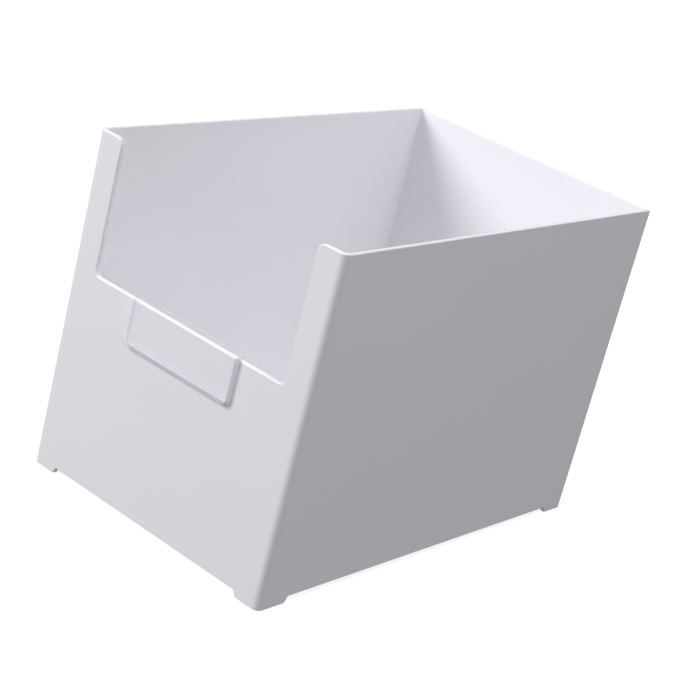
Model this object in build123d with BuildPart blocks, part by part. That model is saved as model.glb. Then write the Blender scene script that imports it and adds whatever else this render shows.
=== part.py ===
from build123d import *
import os

# Open-front storage bin: a moulded tub on four corner feet, and a clear label holder that hangs over
# its low front lip. Millimetres. +X is to the right, +Y to the back and +Z up. The origin is in the
# middle of the whole footprint, holder included, on the surface that the feet stand on.

os.makedirs("parts", exist_ok=True)

# Tub, outside
bin_width = 180.0
bin_depth = 279.3
bin_height = 199.9
front_corner = 4.5
back_corner = 2.0

# Walls and floor
front_wall = 3.0
side_wall = 2.6
back_wall = 2.6
floor_thickness = 2.8
skirt_depth = 4.0
inner_back_corner = 1.0
floor_fillet = 3.0
rim_round = 0.7
# Smallest radius that a corner drawn inside another may have
smallest_corner = 0.4

# Window in the front wall
lip_height = 121.9
window_width = 142.8
window_low_corner = 3.2
window_top_corner = 4.5

# Feet
foot_height = 3.8
foot_along_front = 17.0
foot_along_back = 17.0
front_foot_along_side = 21.5
back_foot_along_side = 17.0
foot_taper = 1.4
foot_round = 1.5
foot_edge_round = 0.4

# Mark of the moulding's gate, in the middle of the floor's underside
gate_ring_width = 9.0
gate_stub_width = 2.6
gate_depth = 0.6

# Label holder
holder_width = 80.0
plate_drop = 25.9
plate_thickness = 1.4
card_space = 1.4
side_strip = 2.4
bottom_strip = 2.2
plate_corner = 4.0
web_thickness = 1.0
leg_thickness = 1.2
leg_drop = 11.0
leg_lead_in = 0.5
holder_round = 0.5
clip_clearance = 0.2

# Places that follow from the sizes above
holder_proud = clip_clearance + card_space + plate_thickness
bin_middle = holder_proud / 2
front_face = bin_middle - bin_depth / 2
back_face = bin_middle + bin_depth / 2
inner_front = front_face + front_wall
inner_back = back_face - back_wall
inner_width = bin_width - 2 * side_wall
inner_depth = inner_back - inner_front
inner_middle = (inner_front + inner_back) / 2
inner_front_corner = max(front_corner - front_wall, smallest_corner)
floor_underside = foot_height + skirt_depth
floor_top = floor_underside + floor_thickness

# Distance within which an edge counts as lying on a face
near = 0.01


# Outline of the space inside the walls, drawn at its own height
def inner_outline(height):
    with BuildSketch(Plane.XY.offset(height)) as outline:
        with Locations((0, inner_middle)):
            Rectangle(inner_width, inner_depth)
        fillet(outline.vertices().group_by(Axis.Y)[0], inner_front_corner)
        fillet(outline.vertices().group_by(Axis.Y)[-1], inner_back_corner)
    return outline.sketch


# Gap between two feet, drawn along the wall: it widens towards the ground, where each foot ends in
# a rounded toe. It reaches below the ground, past the toes, where there is nothing to cut.
def gap_outline(plane, start, end):
    with BuildSketch(plane) as gap:
        with BuildLine():
            Polyline(
                (start - foot_round, -foot_height),
                (start - foot_round, 0),
                (start, 0),
                (start + foot_taper, foot_height),
                (end - foot_taper, foot_height),
                (end, 0),
                (end + foot_round, 0),
                (end + foot_round, -foot_height),
                close=True,
            )
        make_face()
        middle = ((start + end) / 2, 0)
        fillet(gap.vertices().sort_by_distance(middle)[:4], foot_round)
    return gap.sketch


storage_outline = inner_outline(floor_top)
recess_outline = inner_outline(0)
half_width = bin_width / 2
front_gap = gap_outline(
    Plane.XZ.offset(-front_face),
    foot_along_front - half_width,
    half_width - foot_along_front,
)
back_gap = gap_outline(
    Plane.XZ.offset(-back_face),
    foot_along_back - half_width,
    half_width - foot_along_back,
)
side_gap = gap_outline(
    Plane.YZ,
    front_face + front_foot_along_side,
    back_face - back_foot_along_side,
)


# Outer edge on the ground where a foot turns the corner; the skirt's lower edge runs on from it
def rounds_a_foot_corner(edge):
    place = edge.center()
    on_ground = edge.geom_type == GeomType.CIRCLE and abs(place.Z) < near
    return on_ground and abs(place.X) > inner_width / 2 + near


# Edge along the rim or round the window, on the outer or the inner face of a wall
def runs_along_rim(edge):
    place = edge.center()
    on_top = abs(place.Z - bin_height) < near
    on_front_wall = min(abs(place.Y - front_face), abs(place.Y - inner_front)) < near
    beside_window = abs(place.X) < window_width / 2 + window_top_corner + near
    round_window = place.Z > lip_height - near and on_front_wall and beside_window
    across_wall = edge.length < front_wall + near and front_face + near < place.Y < inner_front - near
    return (on_top or round_window) and not across_wall


with BuildPart() as bin_body:
    # Solid block with its upright corners rounded
    with BuildSketch(Plane.XY) as outside:
        with Locations((0, bin_middle)):
            Rectangle(bin_width, bin_depth)
        fillet(outside.vertices().group_by(Axis.Y)[0], front_corner)
        fillet(outside.vertices().group_by(Axis.Y)[-1], back_corner)
    extrude(amount=bin_height)

    # Storage space, with a fillet all round its floor
    extrude(storage_outline, amount=bin_height - floor_top, mode=Mode.SUBTRACT)
    fillet(bin_body.faces().filter_by(Plane.XY).group_by(Axis.Z)[1].edges(), floor_fillet)

    # Recess under the floor, inside the skirt
    extrude(recess_outline, amount=floor_underside, mode=Mode.SUBTRACT)

    # Gate mark: a shallow ring round the stub where the plastic flowed in
    with BuildSketch(Plane.XY.offset(floor_underside)):
        with Locations((0, inner_middle)):
            Circle(gate_ring_width / 2)
            Circle(gate_stub_width / 2, mode=Mode.SUBTRACT)
    extrude(amount=gate_depth, mode=Mode.SUBTRACT)

    # Gaps that leave the skirt standing on four corner feet
    extrude(front_gap, amount=-front_wall, mode=Mode.SUBTRACT)
    extrude(back_gap, amount=back_wall, mode=Mode.SUBTRACT)
    extrude(side_gap, amount=half_width, both=True, mode=Mode.SUBTRACT)

    # Soft outer edge along the feet and the skirt between them
    fillet(bin_body.edges().filter_by(rounds_a_foot_corner), foot_edge_round)

    # Window: the front wall is low between two full-height posts
    with BuildSketch(Plane.XZ.offset(-front_face)) as window:
        with Locations((0, lip_height)):
            Rectangle(window_width, bin_height - lip_height, align=(Align.CENTER, Align.MIN))
        fillet(window.vertices().group_by(Axis.Y)[0], window_low_corner)
    extrude(amount=-front_wall, mode=Mode.SUBTRACT)
    post_tops = bin_body.edges().filter_by(Axis.Y).group_by(Axis.Z)[-1].sort_by(Edge.length)[:2]
    fillet(post_tops, window_top_corner)

    # Soft edge all along the rim and round the window
    fillet(bin_body.edges().filter_by(runs_along_rim), rim_round)

bin_body.part.label = "bin_body"
export_step(bin_body.part, "parts/bin_body.step")


# Label holder: the sizes across the lip
plate_front = front_face - holder_proud
plate_back = front_face - clip_clearance
leg_front = inner_front + clip_clearance
leg_back = leg_front + leg_thickness
web_underside = lip_height + clip_clearance
web_top = web_underside + web_thickness
plate_bottom = lip_height - plate_drop
leg_bottom = web_top - leg_drop
card_width = holder_width - 2 * side_strip
card_height = web_underside - plate_bottom - bottom_strip
card_corner = max(plate_corner - side_strip, smallest_corner)

with BuildPart() as label_holder:
    # Hook shape seen from the side: front plate, fold over the lip, and leg inside the bin
    with BuildSketch(Plane.YZ) as hook:
        with BuildLine():
            Polyline(
                (plate_front, plate_bottom),
                (plate_back, plate_bottom),
                (plate_back, web_underside),
                (leg_front, web_underside),
                (leg_front, leg_bottom + leg_lead_in),
                (leg_front + leg_lead_in, leg_bottom),
                (leg_back, leg_bottom),
                (leg_back, web_top),
                (plate_front, web_top),
                close=True,
            )
        make_face()
    extrude(amount=holder_width / 2, both=True)

    # Round lower corners of the plate
    plate_edges = label_holder.edges().filter_by(Axis.Y).group_by(Axis.Z)[0]
    fillet(plate_edges, plate_corner)

    # Shallow space for the card, open towards the bin's front wall
    with BuildSketch(Plane.XZ.offset(-plate_back)) as card:
        with Locations((0, plate_bottom + bottom_strip)):
            Rectangle(card_width, card_height, align=(Align.CENTER, Align.MIN))
        fillet(card.vertices().group_by(Axis.Y)[0], card_corner)
    extrude(amount=card_space, mode=Mode.SUBTRACT)

    # Soft edge round the front face
    fillet(label_holder.faces().sort_by(Axis.Y)[0].edges(), holder_round)

label_holder.part.label = "label_holder"
export_step(label_holder.part, "parts/label_holder.step")
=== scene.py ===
from math import cos, radians, sin

import bpy
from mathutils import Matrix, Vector


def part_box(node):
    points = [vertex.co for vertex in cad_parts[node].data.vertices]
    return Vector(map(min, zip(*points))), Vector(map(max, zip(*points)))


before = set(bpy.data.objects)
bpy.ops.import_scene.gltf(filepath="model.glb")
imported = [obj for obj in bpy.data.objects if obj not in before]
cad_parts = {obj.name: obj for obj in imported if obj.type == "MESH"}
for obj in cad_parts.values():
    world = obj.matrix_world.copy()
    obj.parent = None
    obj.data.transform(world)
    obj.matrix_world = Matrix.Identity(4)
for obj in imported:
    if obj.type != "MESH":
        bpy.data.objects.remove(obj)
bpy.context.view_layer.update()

bpy.ops.object.select_all(action="DESELECT")


# Tub: one injection moulding in white styrene plastic, open at the top, its front wall cut low, on
# four corner feet. It has a satin skin with a faint grain and cloudiness, a sink line round the
# outside where the floor joins the walls, and fine scuffs where things rub on it.

tub_low, tub_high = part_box("bin_body")
plastic_white = (0.968, 0.960, 0.980, 1.0)
plastic_cloud = (0.952, 0.944, 0.966, 1.0)
cloud_size = 0.060
skin_roughness = 0.28
cloud_roughness = 0.04
scuffed_roughness = 0.42
scuff_size = 0.007
scuff_stretch = (1.0, 0.12, 1.0)
scuff_start, scuff_full = 0.50, 0.72
scuffed_anywhere = 0.35
scuffed_where_rubbed = 0.65
dulled_where_rubbed = 0.15
rubbed_depth = 0.0004
rim_rounding = 0.0007
grain_size = 0.0006
grain_depth = 0.000008
waviness_size = 0.018
waviness_depth = 0.000010
sink_height = 0.0094
sink_half_width = 0.0022
sink_depth = 0.000030
outer_skin = 0.0012
skin_fade = 0.00015


class Link:
    """A node's output socket that can stand in a sum: each sign adds its own Math node."""

    def __init__(self, tree, socket):
        self.tree = tree
        self.socket = socket

    def feed(self, inputs):
        """Gives this socket's own node its values and links."""
        sockets = self.socket.node.inputs
        for name, value in inputs.items():
            if isinstance(value, Link):
                self.tree.links.new(value.socket, sockets[name])
            else:
                sockets[name].default_value = value

    def node(self, kind, settings, inputs, output=0):
        """Adds a node with those settings and inputs, and gives back one of its outputs."""
        added = self.tree.nodes.new(kind)
        for name, value in settings.items():
            setattr(added, name, value)
        link = Link(self.tree, added.outputs[output])
        link.feed(inputs)
        return link

    def maths(self, operation, *numbers):
        return self.node("ShaderNodeMath", {"operation": operation}, dict(enumerate(numbers)))

    def step(self, low, high):
        """Rises smoothly from 0 to 1 between those two values."""
        return self.node(
            "ShaderNodeMapRange",
            {"interpolation_type": "SMOOTHSTEP"},
            {"Value": self, "From Min": low, "From Max": high},
        )

    def parts(self):
        """The x, y and z of a vector."""
        split = self.node("ShaderNodeSeparateXYZ", {}, {"Vector": self})
        return [Link(self.tree, number) for number in split.socket.node.outputs]

    def noise(self, size, detail):
        """Soft noise from 0 to 1 on these coordinates, with lumps of about that size."""
        return self.node("ShaderNodeTexNoise", {}, {"Vector": self, "Scale": 1 / size, "Detail": detail})

    def stretched(self, factors):
        """These coordinates, each times its own factor, which draws a pattern out where that is small."""
        return self.node("ShaderNodeVectorMath", {"operation": "MULTIPLY"}, {0: self, 1: factors})

    def at_least(self, other):
        return self.maths("MAXIMUM", self, other)

    def at_most(self, other):
        return self.maths("MINIMUM", self, other)

    def __abs__(self):
        return self.maths("ABSOLUTE", self)

    def __add__(self, other):
        return self.maths("ADD", self, other)

    def __radd__(self, other):
        return self.maths("ADD", other, self)

    def __sub__(self, other):
        return self.maths("SUBTRACT", self, other)

    def __rsub__(self, other):
        return self.maths("SUBTRACT", other, self)

    def __mul__(self, other):
        return self.maths("MULTIPLY", self, other)

    def __rmul__(self, other):
        return self.maths("MULTIPLY", other, self)


def node_material(name, constants):
    """A new material, and its shader with those constants set."""
    material = bpy.data.materials.new(name)
    material.use_nodes = True
    tree = material.node_tree
    shader = Link(tree, tree.nodes["Principled BSDF"].outputs["BSDF"])
    shader.feed(constants)
    return material, shader


tub_plastic, shader = node_material("satin_white_plastic", {"IOR": 1.55, "Specular IOR Level": 0.5})
place = shader.node("ShaderNodeTexCoord", {}, {}, output="Object")
across, along, up = place.parts()
cloud = place.noise(cloud_size, 3.0)
colour = place.node(
    "ShaderNodeMix",
    {"data_type": "RGBA"},
    {"Factor": cloud, "A": plastic_white, "B": plastic_cloud},
    output="Result",
)

scuffs = place.stretched(scuff_stretch).noise(scuff_size, 8.0).step(scuff_start, scuff_full)
tread = 1.0 - up.step(rubbed_depth, 3 * rubbed_depth)
rim_start = tub_high[2] - rim_rounding
rim = up.step(rim_start, rim_start + rubbed_depth)
rubbed = (tread + rim).at_most(1.0)
wear = scuffed_anywhere * scuffs + scuffed_where_rubbed * rubbed * scuffs + dulled_where_rubbed * rubbed
roughness = skin_roughness + cloud_roughness * cloud + (scuffed_roughness - skin_roughness) * wear

outer_left_right = abs(across).step(tub_high[0] - outer_skin, tub_high[0] - skin_fade)
outer_front = 1.0 - along.step(tub_low[1] + skin_fade, tub_low[1] + outer_skin)
outer_back = along.step(tub_high[1] - outer_skin, tub_high[1] - skin_fade)
outside = outer_left_right.at_least(outer_front).at_least(outer_back)
sink = outside * (1.0 - abs(up - sink_height).step(0.0, sink_half_width))
waves = place.noise(waviness_size, 1.0)
grain = place.noise(grain_size, 2.0)
skin = grain_depth * grain + waviness_depth * waves - sink_depth * sink
bump = skin.node("ShaderNodeBump", {}, {"Height": skin, "Strength": 1.0, "Distance": 1.0})
shader.feed({"Base Color": colour, "Roughness": roughness, "Normal": bump})

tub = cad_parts["bin_body"]
tub.data.materials.clear()
tub.data.materials.append(tub_plastic)


# Label holder: a separate moulding in clear plastic, a shallow tray for a paper card with a fold that
# hooks over the lip. It is so clear that it shows mostly by its outline: the rounded rim, where one
# looks along the plastic, is milky, the strips that hold the card less so, and the fold hardly at all.

holder_low, holder_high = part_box("label_holder")
tray_alpha = 0.13
strip_alpha = 0.16
fold_alpha = 0.03
crest_alpha = 0.35
rim_alpha = 0.95
thin_haze, haze_spread = 0.85, 0.30
far_side_share = 0.30
tray_corner = 0.004
strip_width = 0.0023
strip_fade = 0.0001
rim_width = 0.0005
lip_height = 0.1220
fold_fade = 0.0002
crest_depth = 0.0007
polished_roughness = 0.14
haze_size = 0.012
haze_roughness = 0.08
hairline_size = 0.0012
hairline_stretch = (0.10, 1.0, 1.0)
hairline_start, hairline_full = 0.55, 0.75
hairline_roughness = 0.10
hairline_depth = 0.000004

clear_plastic, shader = node_material(
    "clear_styrene",
    {"Base Color": (0.91, 0.91, 0.95, 1.0), "IOR": 1.49, "Transmission Weight": 0.15},
)
place = shader.node("ShaderNodeTexCoord", {}, {}, output="Object")
across, along, up = place.parts()
past_side = (abs(across) - (holder_high[0] - tray_corner)).at_least(0.0)
past_bottom = (holder_low[2] + tray_corner - up).at_least(0.0)
square = past_side * past_side + past_bottom * past_bottom
to_edge = square.maths("SQRT", square) - tray_corner
strip = to_edge.step(-strip_width - strip_fade, -strip_width + strip_fade)
rim = to_edge.step(-rim_width, -strip_fade)
behind_front = along.step(tub_low[1] - fold_fade, tub_low[1] + fold_fade)
fold = behind_front.at_least(up.step(lip_height - fold_fade, lip_height + fold_fade))
crest = along.step(holder_high[1] - crest_depth, holder_high[1])
crest = crest * up.step(lip_height + fold_fade, lip_height + 4 * fold_fade)

clear = tray_alpha + (strip_alpha - tray_alpha) * strip
clear = clear + (fold_alpha - clear) * fold
clear = clear + (crest_alpha - clear) * crest
clear = clear + (rim_alpha - clear) * rim
haze = place.noise(haze_size, 3.0)
far_side = place.node("ShaderNodeNewGeometry", {}, {}, output="Backfacing")
alpha = clear * (thin_haze + haze_spread * haze) * (1.0 - (1.0 - far_side_share) * far_side)
hairlines = place.stretched(hairline_stretch).noise(hairline_size, 4.0)
scratched = hairlines.step(hairline_start, hairline_full)
roughness = polished_roughness + haze_roughness * haze + hairline_roughness * scratched
bump = place.node("ShaderNodeBump", {}, {"Height": hairlines, "Strength": 1.0, "Distance": hairline_depth})
shader.feed({"Alpha": alpha, "Roughness": roughness, "Normal": bump})

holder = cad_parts["label_holder"]
holder.data.materials.clear()
holder.data.materials.append(clear_plastic)


# Studio floor: a round sheet of white card, swept up at its rim into a wall so that no corner shows
# behind the bin. It is a backdrop only: the camera sees it from inside, it sends no light back to the
# bin, and from below there is nothing of it, so that the underside of the bin can be looked at.

floor_radius = 4.0
floor_sides = 96
sweep_radius = 1.5
sweep_steps = 12
wall_height = 4.0
card_grey = (0.5, 0.5, 0.5, 1.0)
card_glow = 0.8

bpy.ops.mesh.primitive_circle_add(vertices=floor_sides, radius=floor_radius, fill_type="NGON")
floor = bpy.context.object
floor.name = "studio_floor"
bpy.ops.object.mode_set(mode="EDIT")
bpy.ops.mesh.select_mode(type="EDGE")
bpy.ops.mesh.select_all(action="SELECT")
reach = floor_radius
height = 0.0
for step in range(1, sweep_steps + 1):
    turn = radians(90 * step / sweep_steps)
    next_reach = floor_radius + sweep_radius * sin(turn)
    next_height = sweep_radius * (1 - cos(turn))
    bpy.ops.mesh.extrude_edges_move()
    bpy.ops.transform.resize(value=(next_reach / reach, next_reach / reach, 1.0))
    bpy.ops.transform.translate(value=(0, 0, next_height - height))
    reach, height = next_reach, next_height
bpy.ops.mesh.extrude_edges_move()
bpy.ops.transform.translate(value=(0, 0, wall_height))
bpy.ops.object.mode_set(mode="OBJECT")
bpy.ops.object.shade_smooth()
floor.visible_diffuse = False
floor.visible_glossy = False
floor.visible_shadow = False

floor_card, shader = node_material(
    "white_card",
    {
        "Base Color": card_grey,
        "Roughness": 1.0,
        "Specular IOR Level": 0.0,
        "Emission Color": (1.0, 1.0, 1.0, 1.0),
        "Emission Strength": card_glow,
    },
)
from_below = shader.node("ShaderNodeNewGeometry", {}, {}, output="Backfacing")
nothing = shader.node("ShaderNodeBsdfTransparent", {}, {})
one_sided = shader.node("ShaderNodeMixShader", {}, {0: from_below, 1: shader, 2: nothing})
surface = floor_card.node_tree.nodes["Material Output"].inputs["Surface"]
floor_card.node_tree.links.new(one_sided.socket, surface)
floor.data.materials.append(floor_card)


# Light: four round soft boxes in a dim even room, a strong one in front on the left, one overhead, a
# weak one low on the right, and one behind for the back wall. Their light is a touch cool.

box_width = 1.5
box_distance = 3.0
bin_centre = Vector((0, 0, 0.1))
cool_white = (0.965, 0.965, 1.0)
room_brightness = 0.228
soft_boxes = {
    "front_left": (322, 30, 66.5),
    "overhead": (90, 72, 33.5),
    "low_right": (60, 10, 6.5),
    "behind": (180, 25, 22.0),
}
for name, (azimuth, elevation, watts) in soft_boxes.items():
    turn = radians(azimuth)
    lift = radians(elevation)
    towards = Vector((sin(turn) * cos(lift), -cos(turn) * cos(lift), sin(lift)))
    bpy.ops.object.light_add(type="AREA", location=bin_centre + box_distance * towards)
    soft_box = bpy.context.object
    soft_box.name = name
    soft_box.data.shape = "DISK"
    soft_box.data.size = box_width
    soft_box.data.energy = watts
    soft_box.data.color = cool_white
    soft_box.rotation_euler = towards.to_track_quat("Z", "Y").to_euler()

room = bpy.data.worlds.new("pale_room")
room.use_nodes = True
background = room.node_tree.nodes["Background"]
background.inputs["Color"].default_value = (*cool_white, 1.0)
background.inputs["Strength"].default_value = room_brightness
bpy.context.scene.world = room
bpy.context.scene.view_settings.view_transform = "Standard"


# Camera: a long lens to the front right and above, turned a little about its own line of sight, as
# the photograph was.

camera_place = (0.61003, -0.83490, 0.48709)
camera_turn_degrees = (68.6078, -13.4536, 41.5059)
sensor_width_mm = 36.0
lens_mm = 101.216
nearest, farthest = 0.05, 50.0

bpy.ops.object.camera_add(location=camera_place)
camera = bpy.context.object
camera.rotation_euler = [radians(turn) for turn in camera_turn_degrees]
camera.data.sensor_width = sensor_width_mm
camera.data.lens = lens_mm
camera.data.clip_start = nearest
camera.data.clip_end = farthest
bpy.context.scene.camera = camera
